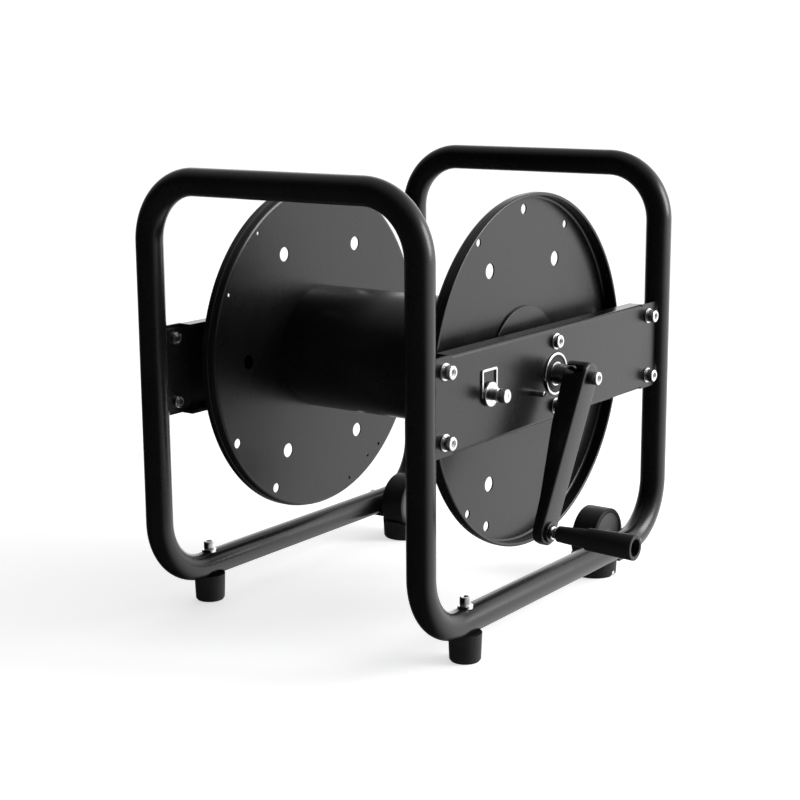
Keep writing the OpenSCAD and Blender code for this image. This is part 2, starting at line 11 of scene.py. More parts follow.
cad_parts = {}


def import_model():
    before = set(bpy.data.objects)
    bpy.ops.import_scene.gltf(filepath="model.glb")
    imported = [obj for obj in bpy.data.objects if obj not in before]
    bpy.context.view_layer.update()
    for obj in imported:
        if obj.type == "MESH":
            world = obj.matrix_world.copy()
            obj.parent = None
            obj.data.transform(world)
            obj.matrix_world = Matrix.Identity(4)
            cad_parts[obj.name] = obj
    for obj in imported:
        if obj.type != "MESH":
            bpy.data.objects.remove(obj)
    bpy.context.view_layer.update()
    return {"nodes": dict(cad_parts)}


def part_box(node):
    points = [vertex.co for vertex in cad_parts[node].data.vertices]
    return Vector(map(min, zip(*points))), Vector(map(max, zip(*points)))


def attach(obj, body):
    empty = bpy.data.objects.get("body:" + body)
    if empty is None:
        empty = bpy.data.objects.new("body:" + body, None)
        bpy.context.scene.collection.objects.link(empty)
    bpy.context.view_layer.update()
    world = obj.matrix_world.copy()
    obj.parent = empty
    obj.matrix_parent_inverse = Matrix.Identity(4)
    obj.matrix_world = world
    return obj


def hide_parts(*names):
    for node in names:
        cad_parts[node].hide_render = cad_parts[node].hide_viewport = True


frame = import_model()

TAU = 2 * math.pi

# ---------------------------------------------------------------- sizes, in millimetres

stand_low, stand_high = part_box("front_hoop")
MIDDLE_X = (stand_low.x + stand_high.x) / 2


def corners(node):
    """The lowest and the highest (x, y, z) of a CAD node, in the millimetres used here."""
    return [tuple(round((value - start) * 1000, 2) for value, start in zip(corner, (MIDDLE_X, 0, 0)))
            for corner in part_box(node)]


def centre(node):
    """The middle (x, y, z) of a CAD node, in the millimetres used here."""
    return tuple((low + high) / 2 for low, high in zip(*corners(node)))


def tenth(value):
    """Rounds to a tenth. The box of a turned part in the frame is slightly smaller than its circle."""
    return round(value, 1)


TUBE_R = 13.5
BEND_R = 60
hoop_low, hoop_high = corners("front_hoop")
HALF_W = hoop_high[0] - TUBE_R
HALF_D = -hoop_low[1] - TUBE_R
RUNNER_Z = hoop_low[2] + TUBE_R
TOP_Z = hoop_high[2] - TUBE_R

CORE_R = tenth(corners("core_tube")[1][1])
AXIS_Z = centre("core_tube")[2]
AXIS = (0, AXIS_Z)

plate_low, plate_high = corners("right_plate")
PLATE_T = 3
PLATE_BEND = 3.5
PLATE_OUT = plate_high[0]
PLATE_IN = PLATE_OUT - PLATE_T
PLATE_BACK = plate_low[0]
PLATE_LOW = plate_low[2]
PLATE_HIGH = plate_high[2]
PLATE_HALF_L = plate_high[1]
RETURN_HALF_L = 182

# M8 screws, washers and nuts. A bore is slightly larger than the thread in it.
M8_WASHER_R = 8
M8_WASHER_T = 1.6
M8_WASHER_BORE = 4.2
M8_HOLE_R = 4.3
M8_BORE = 4.02
M8_NUT_R = 6.2
washer_high = corners("plate_washers")[1]
SCREW_Y = tenth(washer_high[1] - M8_WASHER_R)
SCREW_DZ = tenth(washer_high[2] - M8_WASHER_R - AXIS_Z)
PLATE_NUT_X = 154.5
HOUSING_NUT_X = 151

BEARING_IN = corners("bearing_outer_right")[0][0]
BEARING_OUT = corners("bearing_outer_right")[1][0]
BEARING_W = BEARING_OUT - BEARING_IN

STOP_PIN = centre("stop_pin")[1:]
STOP_PIN_R = 3
PLUNGER_Y = centre("plunger_flange")[1]
PLUNGER = (PLUNGER_Y, AXIS_Z)
PLUNGER_NECK_R = 5.25
FIT_GAP = 0.02

FLANGE_IN = corners("right_flange")[0][0]
FLANGE_T = 1.5
DISH_END = corners("right_rim")[1][0]
RIM_R = tenth(corners("right_rim")[1][1])
DISH_R = 172.2
DISH_BEND_R = 5
HUB_BORE = 10.1

SHAFT_END = corners("shaft")[1][0]
ARM_SHEET = 2.0
ARM_BEND_R = 3.0
WEB = corners("crank_boss")[1][0] + ARM_SHEET
ARM_HALF_W = 14
ARM_TOP_R = 14.5
ARM_END = 12
# Where the arm's open back edge lies: (distance from the hub, x).
ARM_BACK = [(0, 180.6), (54, 183.3), (127, 192.4), (176, 195)]
grip_centre = centre("grip_sleeve")
THROW = tenth(math.hypot(grip_centre[1], grip_centre[2] - AXIS_Z))
CRANK_ANGLE = math.radians(tenth(math.degrees(math.atan2(-grip_centre[1], AXIS_Z - grip_centre[2]))))
HANDLE_Y = -THROW * math.sin(CRANK_ANGLE)
HANDLE_Z = AXIS_Z - THROW * math.cos(CRANK_ANGLE)
HANDLE = (HANDLE_Y, HANDLE_Z)
COLLAR_X = corners("grip_collar")[0][0]
GRIP_X = corners("grip_sleeve")[0][0]
GRIP_END = corners("grip_sleeve")[1][0]

HANDLE_SCREW_X = 262.2
HANDLE_NUT_X = 195.5
COLLAR_L = 30.8
COLLAR_TAIL = 47.6

FOOT_Y = -centre("front_feet")[1]
FOOT_WASHER_T = 1.6
tyre_low, tyre_high = corners("tyre_right")
WHEEL_Y, WHEEL_Z = centre("tyre_right")[1:]
WHEEL_OUT = tyre_high[0]
WHEEL_W = tyre_high[0] - tyre_low[0]
WHEEL_R = tenth(tyre_high[1] - WHEEL_Y)
WHEEL_HUB_R = 27
AXLE = (WHEEL_Y, WHEEL_Z)


def mm(x, y, z):
    """A point given in millimetres, in metres in the model's frame."""
    return Vector((MIDDLE_X + x / 1000, y / 1000, z / 1000))


# ---------------------------------------------------------------- materials


class Nodes:
    """Short names for building a node material."""

    def __init__(self, name):
        self.material = bpy.data.materials.new(name)
        self.material.use_nodes = True
        self.tree = self.material.node_tree
        self.shader = self.tree.nodes["Principled BSDF"]
        self.place = self.add("ShaderNodeTexCoord").outputs["Object"]

    def add(self, kind, **values):
        node = self.tree.nodes.new(kind)
        for key, value in values.items():
            if key in node.inputs:
                node.inputs[key].default_value = value
            else:
                setattr(node, key, value)
        return node

    def link(self, out, into):
        self.tree.links.new(out, into)

    def noise(self, scale, detail=3, roughness=0.55, place=None):
        node = self.add("ShaderNodeTexNoise", Scale=scale, Detail=detail, Roughness=roughness)
        self.link(place or self.place, node.inputs["Vector"])
        return node.outputs["Fac"]

    def stretched(self, x, y, z):
        """UV coordinates scaled by a different amount along each axis."""
        where = self.add("ShaderNodeTexCoord").outputs["UV"]
        node = self.add("ShaderNodeMapping")
        node.inputs["Scale"].default_value = (x, y, z)
        self.link(where, node.inputs["Vector"])
        return node.outputs["Vector"]

    def spread(self, fac, low, high, from_low=0.3, from_high=0.7):
        """Maps a noise to a range of values."""
        node = self.add("ShaderNodeMapRange")
        node.inputs["From Min"].default_value = from_low
        node.inputs["From Max"].default_value = from_high
        node.inputs["To Min"].default_value = low
        node.inputs["To Max"].default_value = high
        self.link(fac, node.inputs["Value"])
        return node.outputs["Result"]

    def colours(self, fac, first, second):
        node = self.add("ShaderNodeMix", data_type="RGBA")
        self.link(fac, node.inputs[0])
        node.inputs[6].default_value = (*first, 1)
        node.inputs[7].default_value = (*second, 1)
        return node.outputs[2]

    def mixed(self, fac, first, second):
        """Mixes two colour outputs by a mask."""
        node = self.add("ShaderNodeMix", data_type="RGBA")
        self.link(fac, node.inputs[0])
        self.link(first, node.inputs[6])
        self.link(second, node.inputs[7])
        return node.outputs[2]

    def sum(self, first, second, weight=1.0):
        node = self.add("ShaderNodeMath", operation="MULTIPLY_ADD")
        self.link(second, node.inputs[0])
        node.inputs[1].default_value = weight
        self.link(first, node.inputs[2])
        return node.outputs[0]

    def edges(self, radius, low, high):
        """1 on sharp edges and 0 on flat faces."""
        bevel = self.add("ShaderNodeBevel", samples=4, Radius=radius)
        normal = self.add("ShaderNodeNewGeometry").outputs["Normal"]
        dot = self.add("ShaderNodeVectorMath", operation="DOT_PRODUCT")
        self.link(bevel.outputs["Normal"], dot.inputs[0])
        self.link(normal, dot.inputs[1])
        return self.spread(dot.outputs["Value"], 1, 0, low, high)

    def bump(self, height, strength, distance):
        node = self.add("ShaderNodeBump", Strength=strength, Distance=distance)
        self.link(height, node.inputs["Height"])
        self.link(node.outputs["Normal"], self.shader.inputs["Normal"])

    def set(self, **values):
        for key, value in values.items():
            self.shader.inputs[key.replace("_", " ")].default_value = value


def powder_coat(name, shade=0.0045, rough=0.27):
    """Satin black powder coat: fine orange peel, faint clouding and a painted highlight on its sharp edges,
    lighter in noisy patches.
    """
    n = Nodes(name)
    cloud = n.noise(14, detail=4)
    peel = n.noise(650, detail=2)
    fine = n.noise(2600, detail=2)
    body = n.colours(n.spread(cloud, 0, 1), (shade * 0.9,) * 3, (shade * 1.15,) * 3)
    # Painted highlight: the sharp edges get a lighter colour, in noisy patches, standing in for light caught
    # on the edges.
    edge_highlight_colour = n.add("ShaderNodeRGB")
    edge_highlight_colour.outputs[0].default_value = (shade * 3.2, shade * 3.2, shade * 3.3, 1)
    edge_highlight_mask = n.add("ShaderNodeMath", operation="MULTIPLY")
    n.link(n.edges(0.0008, 0.72, 0.97), edge_highlight_mask.inputs[0])
    n.link(n.spread(n.noise(180, detail=3), 0, 1, 0.35, 0.75), edge_highlight_mask.inputs[1])
    n.link(n.mixed(edge_highlight_mask.outputs[0], body, edge_highlight_colour.outputs[0]), n.shader.inputs["Base Color"])
    gloss = n.spread(n.sum(cloud, fine, 0.3), rough - 0.04, rough + 0.05, 0.4, 0.9)
    n.link(gloss, n.shader.inputs["Roughness"])
    n.bump(n.sum(peel, fine, 0.35), 0.08, 0.0001)
    n.set(Specular_IOR_Level=0.5)
    return n.material


def plated(name, colour, rough, turned=True):
    """Bright zinc plate or bare steel with fine turning marks and a few duller patches."""
    n = Nodes(name)
    patches = n.noise(240, detail=4)
    lines = n.noise(1, detail=3, place=n.stretched(60, 9000, 1)) if turned else n.noise(1800, detail=3)
    dull = tuple(c * 0.82 for c in colour)
    n.link(n.colours(n.spread(patches, 0, 1), colour, dull), n.shader.inputs["Base Color"])
    gloss = n.spread(n.sum(patches, lines, 0.5), rough - 0.06, rough + 0.1, 0.5, 1.0)
    n.link(gloss, n.shader.inputs["Roughness"])
    n.bump(lines, 0.12, 0.00006)
    n.set(Metallic=1.0)
    return n.material


def rubber(name, shade=0.008, rough=0.6):
    """Moulded rubber: matt, faintly pebbled, with a little grey bloom."""
    n = Nodes(name)
    bloom = n.noise(55, detail=5)
    grain = n.noise(1900, detail=3)
    n.link(n.colours(n.spread(bloom, 0, 1), (shade,) * 3, (shade * 1.6,) * 3), n.shader.inputs["Base Color"])
    gloss = n.spread(n.sum(bloom, grain, 0.4), rough - 0.06, rough + 0.1, 0.5, 0.95)
    n.link(gloss, n.shader.inputs["Roughness"])
    n.bump(n.sum(grain, bloom, 0.6), 0.22, 0.00015)
    n.set(Specular_IOR_Level=0.32)
    return n.material


def plastic(name, shade, rough, grain_scale=1400):
    """Moulded plastic with a fine spark-eroded grain."""
    n = Nodes(name)
    cloud = n.noise(40, detail=4)
    grain = n.noise(grain_scale, detail=3)
    low, high = (shade * 0.92,) * 3, (shade * 1.12,) * 3
    n.link(n.colours(n.spread(cloud, 0, 1), low, high), n.shader.inputs["Base Color"])
    gloss = n.spread(n.sum(cloud, grain, 0.5), rough - 0.05, rough + 0.08, 0.5, 1.0)
    n.link(gloss, n.shader.inputs["Roughness"])
    n.bump(grain, 0.2, 0.0001)
    n.set(Specular_IOR_Level=0.4)
    return n.material


COAT = powder_coat("powder_coat_black")
ZINC = plated("zinc_plate", (0.88, 0.88, 0.89), 0.2)
WIRE = plated("zinc_wire", (0.86, 0.86, 0.87), 0.26, turned=False)
STEEL = plated("machined_steel", (0.3, 0.3, 0.31), 0.36)
CHROME = plated("bearing_steel", (0.83, 0.83, 0.84), 0.16)
RUBBER = rubber("black_rubber")
SEAL = rubber("seal_rubber", 0.003, 0.5)
TYRE = rubber("tyre_rubber", 0.006, 0.48)
GRIP = plastic("grip_plastic", 0.007, 0.42)
HUB = plastic("hub_plastic", 0.09, 0.55, 900)

# ---------------------------------------------------------------- mesh helpers


def finished(name, mesh, body, replaces, material, smooth=35, flat_faces=False):
    """Links a mesh as a piece, shades it smooth below the given angle, and ties it to the model.
    flat_faces keeps wide flat faces evenly shaded beside their rounded edges."""
    mesh.materials.clear()
    mesh.materials.append(material)
    mesh.polygons.foreach_set("use_smooth", [True] * len(mesh.polygons))
    mesh.set_sharp_from_angle(angle=math.radians(smooth))
    piece = bpy.data.objects.new(name, mesh)
    bpy.context.scene.collection.objects.link(piece)
    if flat_faces:
        normals = piece.modifiers.new("normals", "WEIGHTED_NORMAL")
        normals.keep_sharp, normals.weight = True, 100
    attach(piece, body)
    if replaces:
        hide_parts(*replaces)
    return piece


def mesh_of(bm, name):
    """Turns a bmesh into a mesh with outward normals."""
    bmesh.ops.recalc_face_normals(bm, faces=bm.faces)
    mesh = bpy.data.meshes.new(name)
    bm.to_mesh(mesh)
    bm.free()
    return mesh


def rounded(profile, radius, steps=4, closed=True):
    """Rounds the corners of a profile. A point's third value is its own radius, and 0 keeps it sharp."""
    points = [Vector(p[:2]) for p in profile]
    radii = [p[2] if len(p) > 2 else radius for p in profile]
    out = []
    for i, here in enumerate(points):
        ends = not closed and i in (0, len(points) - 1)
        before, after = points[i - 1], points[(i + 1) % len(points)]
        a, b = before - here, after - here
        if ends or radii[i] <= 0 or a.length < 1e-9 or b.length < 1e-9:
            out.append(tuple(here))
            continue
        half = a.angle(b) / 2
        if half > math.radians(85):
            out.append(tuple(here))
            continue
        reach = min(radii[i] / math.tan(half), a.length * 0.45, b.length * 0.45)
        start, stop = here + a.normalized() * reach, here + b.normalized() * reach
        for k in range(steps + 1):
            t = k / steps
            out.append(tuple((1 - t) ** 2 * start + 2 * t * (1 - t) * here + t ** 2 * stop))
    return out


def lathe(bm, profile, origin, axis="X", count=96, closed=True, shape=None):
    """Turns a profile of (along, radius) points, in millimetres, round an axis through origin.
    shape(i, angle, radius) may change a radius, for hexagons and knurls. UVs run round and along."""
    uv = bm.loops.layers.uv.verify()
    rows = []
    for i, (along, radius) in enumerate(profile):
        row = []
        for k in range(count):
            angle = TAU * k / count
            r = shape(i, angle, radius) if shape else radius
            c, s = r * math.cos(angle), r * math.sin(angle)
            p = (along, c, s) if axis == "X" else (c, s, along)
            row.append(bm.verts.new(origin + Vector(p) / 1000))
            if radius < 1e-6:
                break
        rows.append(row)
    length = 0
    pairs = list(zip(range(len(rows)), list(range(1, len(rows))) + ([0] if closed else [])))
    for i, j in pairs:
        step = (Vector(profile[j]) - Vector(profile[i])).length / 1000
        size = max(profile[i][1], profile[j][1]) / 1000 * TAU
        for k in range(count):
            n = (k + 1) % count
            a, b = rows[i], rows[j]
            quad = [
                (a[k % len(a)], k, 0),
                (a[n % len(a)], k + 1, 0),
                (b[n % len(b)], k + 1, step),
                (b[k % len(b)], k, step),
            ]
            seen, ring = set(), []
            for vert, turn, rise in quad:
                if vert not in seen:
                    seen.add(vert)
                    ring.append((vert, turn, rise))
            if len(ring) < 3:
                continue
            face = bm.faces.new([r[0] for r in ring])
            for loop, (vert, turn, rise) in zip(face.loops, ring):
                loop[uv].uv = (turn / count * size, length + rise)
        length += step


def turned(name, parts, body, replaces, slot, material, smooth=35):
    """A piece of one or more lathed solids, each a dict of lathe() arguments."""
    bm = bmesh.new()
    for part in parts:
        lathe(bm, **part)
    return finished(name, mesh_of(bm, name), body, replaces, material, smooth)


def ring_part(x, r, bore, length, at, edge=0.3, count=96):
    """A washer or ring along X, from x, with rounded edges."""
    profile = rounded([(0, bore), (0, r), (length, r), (length, bore)], edge)
    return dict(profile=profile, origin=mm(x, *at), count=count)


def mirrored(part, mirror):
    """The lathed part as drawn, or its mirror image on the left of the stand."""
    if not mirror:
        return part
    part = dict(part)
    part["profile"] = [(-a, r) for a, r in part["profile"]]
    origin = part["origin"].copy()
    origin.x = 2 * MIDDLE_X - origin.x
    part["origin"] = origin
    return part


def flipped(mesh):
    """Turns a mesh of the right side into its mirror image on the left of the stand."""
    mesh.transform(Matrix.Translation((2 * MIDDLE_X, 0, 0)) @ Matrix.Scale(-1, 4, (1, 0, 0)))
    mesh.flip_normals()
    return mesh


def hexagon(flat_r, angle):
    """Radius of a hexagon with the given inner radius."""
    return flat_r / math.cos((angle % (TAU / 6)) - TAU / 12)


def cap_screw_part(x, at, head_r=6.5, head_h=8.0, shank_r=4.0, shank=16.0, socket=2.5, knurled=True):
    """A socket-head cap screw whose head starts at x. The shank runs towards the drum."""
    outer = [(-shank, 0), (-shank, shank_r - 0.5), (-shank + 0.5, shank_r), (0, shank_r), (0, head_r - 0.3),
             (0.5, head_r), (head_h - 0.9, head_r), (head_h - 0.35, head_r - 0.3), (head_h, head_r - 0.9),
             (head_h, socket * 1.35), (head_h - 0.7, socket * 1.16), (head_h - 0.75, socket),
             (head_h * 0.45, socket), (head_h * 0.45 - 0.6, 0)]
    grip_rows = {5, 6}
    hex_rows = {11, 12}

    def shape(i, angle, radius):
        if knurled and i in grip_rows:
            return radius - 0.14 * (1 + math.cos(angle * 36))
        if i in hex_rows:
            return hexagon(radius, angle)
        return radius

    return dict(profile=outer, origin=mm(x, *at), count=216 if knurled else 96, closed=False, shape=shape)


def nut_part(x, at, flat_r, bore, length):
    """A hexagonal nut with chamfered corners."""
    corner = flat_r / math.cos(TAU / 12)
    profile = [(0, bore + 0.4), (0, flat_r), (0.5, corner), (length - 0.5, corner), (length, flat_r),
               (length, bore + 0.4), (length - 0.4, bore), (0.4, bore)]

    def shape(i, angle, radius):
        return min(radius, hexagon(flat_r, angle)) if i in (1, 2, 3, 4) else radius

    return dict(profile=profile, origin=mm(x, *at), count=96, shape=shape)


def loft(bm, rows, closed=True):
    """Joins equal rows of points with quads. closed joins each row's ends."""
    verts = [[bm.verts.new(p) for p in row] for row in rows]
    for a, b in zip(verts, verts[1:]):
        for k in range(len(a) if closed else len(a) - 1):
            n = (k + 1) % len(a)
            bm.faces.new((a[k], a[n], b[n], b[k]))
    return verts


def rounded_edges(bm, width, angle, merge, flat, segments=2):
    """Merges close points and flat faces, then rounds the edges sharper than angle by width millimetres."""
    bmesh.ops.remove_doubles(bm, verts=bm.verts, dist=merge)
    bmesh.ops.dissolve_limit(bm, angle_limit=math.radians(flat), verts=bm.verts, edges=bm.edges)
    sharp = [e for e in bm.edges if e.is_manifold and e.calc_face_angle() > math.radians(angle)]
    bmesh.ops.bevel(bm, geom=sharp, offset=width / 1000, offset_type="OFFSET", segments=segments,
                    profile=0.5, affect="EDGES", clamp_overlap=True)


def softened(name, node, body, width, material, segments=2):
    """A copy of a CAD node with its sharp edges rounded by width, in millimetres."""
    bm = bmesh.new()
    bm.from_mesh(frame["nodes"][node].data)
    rounded_edges(bm, width, 35, 2e-6, 0.4, segments)
    return finished(name, mesh_of(bm, name), body, [node], material, flat_faces=True)


def combined(mesh, solids, operation):
    """Adds closed bmesh solids to a mesh, or takes them out of it."""
    holder = bpy.data.objects.new("blank", mesh)
    bpy.context.scene.collection.objects.link(holder)
    tools = []
    for i, solid in enumerate(solids):
        tool = bpy.data.objects.new(f"tool_{i}", mesh_of(solid, f"tool_{i}"))
        bpy.context.scene.collection.objects.link(tool)
        tools.append(tool)
        step = holder.modifiers.new(f"step_{i}", "BOOLEAN")
        step.operation, step.object, step.solver = operation, tool, "EXACT"
    bpy.context.view_layer.update()
    result = bpy.data.meshes.new_from_object(holder.evaluated_get(bpy.context.evaluated_depsgraph_get()))
    for o in tools + [holder]:
        bpy.data.objects.remove(o)
    return result


def cut(mesh, cutters, width):
    """Cuts closed bmesh solids out of a mesh and rounds the sharp edges by width, in millimetres."""
    result = combined(mesh, cutters, "DIFFERENCE")
    bm = bmesh.new()
    bm.from_mesh(result)
    rounded_edges(bm, width, 50, 1e-6, 0.2)
    return mesh_of(bm, "cut")


def rod_cutter(x, r, length, at, count=96):
    """A plain cylinder along X, used to drill a hole."""
    bm = bmesh.new()
    lathe(bm, [(0, 0), (0, r), (length, r), (length, 0)], mm(x, *at), count=count, closed=False)
    bmesh.ops.recalc_face_normals(bm, faces=bm.faces)
    return bm


# ---------------------------------------------------------------- frame tubes


def hoop_path(front):
    """Centre line of one hoop, from the middle of the right runner to the middle of the left one."""
    sign = -1 if front else 1
    run = HALF_D - BEND_R
    side = [(HALF_W, 0, RUNNER_Z), (HALF_W, sign * run * 0.5, RUNNER_Z)]
    steps = 28
    for k in range(steps + 1):
        a = math.pi / 2 * k / steps
        side.append((HALF_W, sign * (run + BEND_R * math.sin(a)), RUNNER_Z + BEND_R * (1 - math.cos(a))))
    side.append((HALF_W, sign * HALF_D, (RUNNER_Z + TOP_Z) / 2))
    for k in range(steps + 1):
        a = math.pi / 2 * k / steps
        side.append((HALF_W - BEND_R * (1 - math.cos(a)), sign * HALF_D,
                     TOP_Z - BEND_R + BEND_R * math.sin(a)))
    return [mm(*p) for p in side + [(-x, y, z) for x, y, z in reversed(side)]]


def tube(bm, path, radius, count=72):
    """Sweeps a circle along a path, and closes its two ends."""
    normal = Vector((0, 0, 1))
    rows = []
    for i, p in enumerate(path):
        ahead = (path[min(i + 1, len(path) - 1)] - p)
        behind = (p - path[max(i - 1, 0)])
        tangent = (ahead.normalized() + behind.normalized()).normalized()
        normal = (normal - tangent * normal.dot(tangent)).normalized()
        other = tangent.cross(normal)
        rows.append([p + radius * (math.cos(TAU * k / count) * normal + math.sin(TAU * k / count) * other)
                     for k in range(count)])
    verts = loft(bm, rows)
    bm.faces.new(verts[0])
    bm.faces.new(verts[-1])


for label, is_front in (("front_hoop", True), ("rear_hoop", False)):
    bm = bmesh.new()
    tube(bm, hoop_path(is_front), TUBE_R / 1000)
    finished(label + "_tube", mesh_of(bm, label), "stand", [label], COAT, 60)

# ---------------------------------------------------------------- side plates


def plate_blank():
    """A side plate of the right side without its holes: a bent channel with flat ends."""
    bm = bmesh.new()
    inner_r = PLATE_BEND - PLATE_T
    outer = [(PLATE_BACK, PLATE_LOW)]
    for k in range(9):
        a = math.pi / 2 * k / 8
        outer.append((PLATE_OUT - PLATE_BEND + PLATE_BEND * math.sin(a),
                      PLATE_LOW + PLATE_BEND * (1 - math.cos(a))))
    inner = [(PLATE_BACK, PLATE_LOW + PLATE_T)]
    for k in range(5):
        a = math.pi / 2 * k / 4
        inner.append((PLATE_IN - inner_r + inner_r * math.sin(a),
                      PLATE_LOW + PLATE_T + inner_r * (1 - math.cos(a))))
    middle = (PLATE_LOW + PLATE_HIGH) / 2
    top = [(x, 2 * middle - z) for x, z in reversed(outer)]
    top_inner = [(x, 2 * middle - z) for x, z in inner]
    section = outer + top + top_inner + list(reversed(inner))
    rows = [[mm(x, y, z) for x, z in section] for y in (-RETURN_HALF_L, RETURN_HALF_L)]
    verts = loft(bm, rows)
    bm.faces.new(verts[0])
    bm.faces.new(verts[1])
    return bm


def box_solid(low, high):
    """A box between two corners."""
    bm = bmesh.new()
    bmesh.ops.create_cube(bm, size=1)
    a, b = mm(*low), mm(*high)
    for v in bm.verts:
        v.co = Vector(((a[i] + b[i]) / 2 + v.co[i] * (b[i] - a[i]) for i in range(3)))
    return bm


def plate_mesh(right):
    """A side plate: the bent channel, its two flat ends and the holes."""
    ends = [box_solid((PLATE_IN, s * RETURN_HALF_L - 3, PLATE_LOW + 0.001),
                      (PLATE_OUT - 0.001, s * RETURN_HALF_L + 3, PLATE_HIGH - 0.001)) for s in (-1, 1)]
    for s, end in zip((-1, 1), ends):
        for v in end.verts:
            if v.co.y * s > RETURN_HALF_L / 1000:
                v.co.y = s * PLATE_HALF_L / 1000
    blank = combined(mesh_of(plate_blank(), "blank"), ends, "UNION")
    span = (PLATE_IN - 2, PLATE_T + 4)
    holes = [rod_cutter(span[0], 21.3, span[1], (0, AXIS_Z))]
    for dz in (-SCREW_DZ, SCREW_DZ):
        for y in (-SCREW_Y, 0, SCREW_Y):
            holes.append(rod_cutter(span[0], M8_HOLE_R, span[1], (y, AXIS_Z + dz), 48))
    if right:
        holes.append(rod_cutter(span[0], PLUNGER_NECK_R + FIT_GAP, span[1], PLUNGER, 48))
        holes.append(rod_cutter(span[0], STOP_PIN_R + FIT_GAP, span[1], STOP_PIN, 48))
    mesh = cut(blank, holes, 0.45)
    return mesh if right else flipped(mesh)


for label, right in (("right", True), ("left", False)):
    finished(f"{label}_side_plate", plate_mesh(right), "stand", [f"{label}_plate"],
             COAT, 30, True)
softened("post_lugs", "plate_lugs", "stand", 0.5, COAT)

plate_places = [(y, AXIS_Z + dz) for y in (-SCREW_Y, SCREW_Y) for dz in (-SCREW_DZ, SCREW_DZ)]
housing_places = [(0, AXIS_Z - SCREW_DZ), (0, AXIS_Z + SCREW_DZ)]
sides = (False, True)


def washer_part(at):
    """A washer on the outside of the right plate."""
    return ring_part(PLATE_OUT, M8_WASHER_R, M8_WASHER_BORE, M8_WASHER_T, at)



turned("side_plate_screws",
       [mirrored(cap_screw_part(PLATE_OUT + M8_WASHER_T, at, shank=11.6), m)
        for at in plate_places for m in sides],
       "stand", ["plate_bolts"], "zinc_plated_steel", ZINC, 30)
turned("side_plate_washers", [mirrored(washer_part(at), m)
                              for at in plate_places for m in sides],
       "stand", ["plate_washers"], "zinc_plated_steel", ZINC)
turned("side_plate_nuts", [mirrored(ring_part(PLATE_NUT_X, 6, M8_BORE, 2.5, at), m)
                           for at in plate_places for m in sides],
       "stand", ["plate_nuts"], "zinc_plated_steel", ZINC)
turned("housing_screws",
       [mirrored(cap_screw_part(PLATE_OUT + M8_WASHER_T, at, head_h=4.4, shank=15.4), m)
        for at in housing_places for m in sides],
       "stand", ["housing_bolts"], "zinc_plated_steel", ZINC, 30)
turned("housing_screw_washers", [mirrored(washer_part(at), m)
                                 for at in housing_places for m in sides],
       "stand", ["housing_washers"], "zinc_plated_steel", ZINC)
turned("housing_screw_nuts", [mirrored(nut_part(HOUSING_NUT_X, at, M8_NUT_R, M8_BORE, 5), m)
                              for at in housing_places for m in sides],
       "stand", ["housing_nuts"], "zinc_plated_steel", ZINC, 25)

# ---------------------------------------------------------------- bearings

for label, m in (("right", False), ("left", True)):
    softened(f"bearing_cup_{label}", f"bearing_housing_{label}", "stand", 0.8, COAT)
    outer_ring = dict(profile=rounded([(0, 18.6), (0, 21, 0.8), (BEARING_W, 21, 0.8), (BEARING_W, 18.6),
                                       (10.5, 18.6), (10.5, 17.6), (1.5, 17.6), (1.5, 18.6)], 0.15),
                      origin=mm(BEARING_IN, *AXIS), count=120)
    turned(f"bearing_race_{label}", [mirrored(outer_ring, m)], "stand", [f"bearing_outer_{label}"],
           "bearing_steel", CHROME)
seal = dict(profile=rounded([(0, 13.5), (0, 18.55), (1.0, 18.55), (1.0, 17.7), (0.55, 17.2), (0.55, 15.2),
                             (0.95, 14.6), (0.95, 11.9), (0.4, 11.9), (0.4, 13.5)], 0.15),
            origin=mm(BEARING_OUT - 1.3, *AXIS), count=120)
inner_seal = dict(seal, profile=[(-a, r) for a, r in seal["profile"]], origin=mm(BEARING_IN + 1.3, *AXIS))
turned("bearing_shields", [mirrored(s, m) for s in (seal, inner_seal) for m in sides], "stand",
       ["bearing_seals"], "black_rubber", SEAL)
race_profile = rounded([(0, 10.02, 0.5), (0, 11.7, 0.2), (1.1, 11.7, 0.2), (1.1, 13.4, 0.2),
                        (10.9, 13.4, 0.2), (10.9, 11.7, 0.2), (BEARING_W, 11.7, 0.2),
                        (BEARING_W, 10.02, 0.5)], 0.2)
inner_race = dict(profile=race_profile, origin=mm(BEARING_IN, *AXIS), count=120)
turned("bearing_inner_races", [mirrored(inner_race, m) for m in sides], "drum", ["bearing_inner_rings"],
       "bearing_steel", CHROME)

# ---------------------------------------------------------------- drum

# Flange holes: (angle in degrees, distance from the axis, radius).
BIG_HOLES = [(angle, 120, 7.5) for angle in range(0, 360, 60)]
RIGHT_SMALL = [(90, 158, 5), (60, 158, 4), (121, 155, 4), (232, 159, 4), (246, 159, 5)]
LEFT_SMALL = [(210, 162, 5), (240, 162, 5), (128, 164, 2), (154, 164, 2), (286, 162, 2), (300, 158, 2),
              (308, 162, 2)]


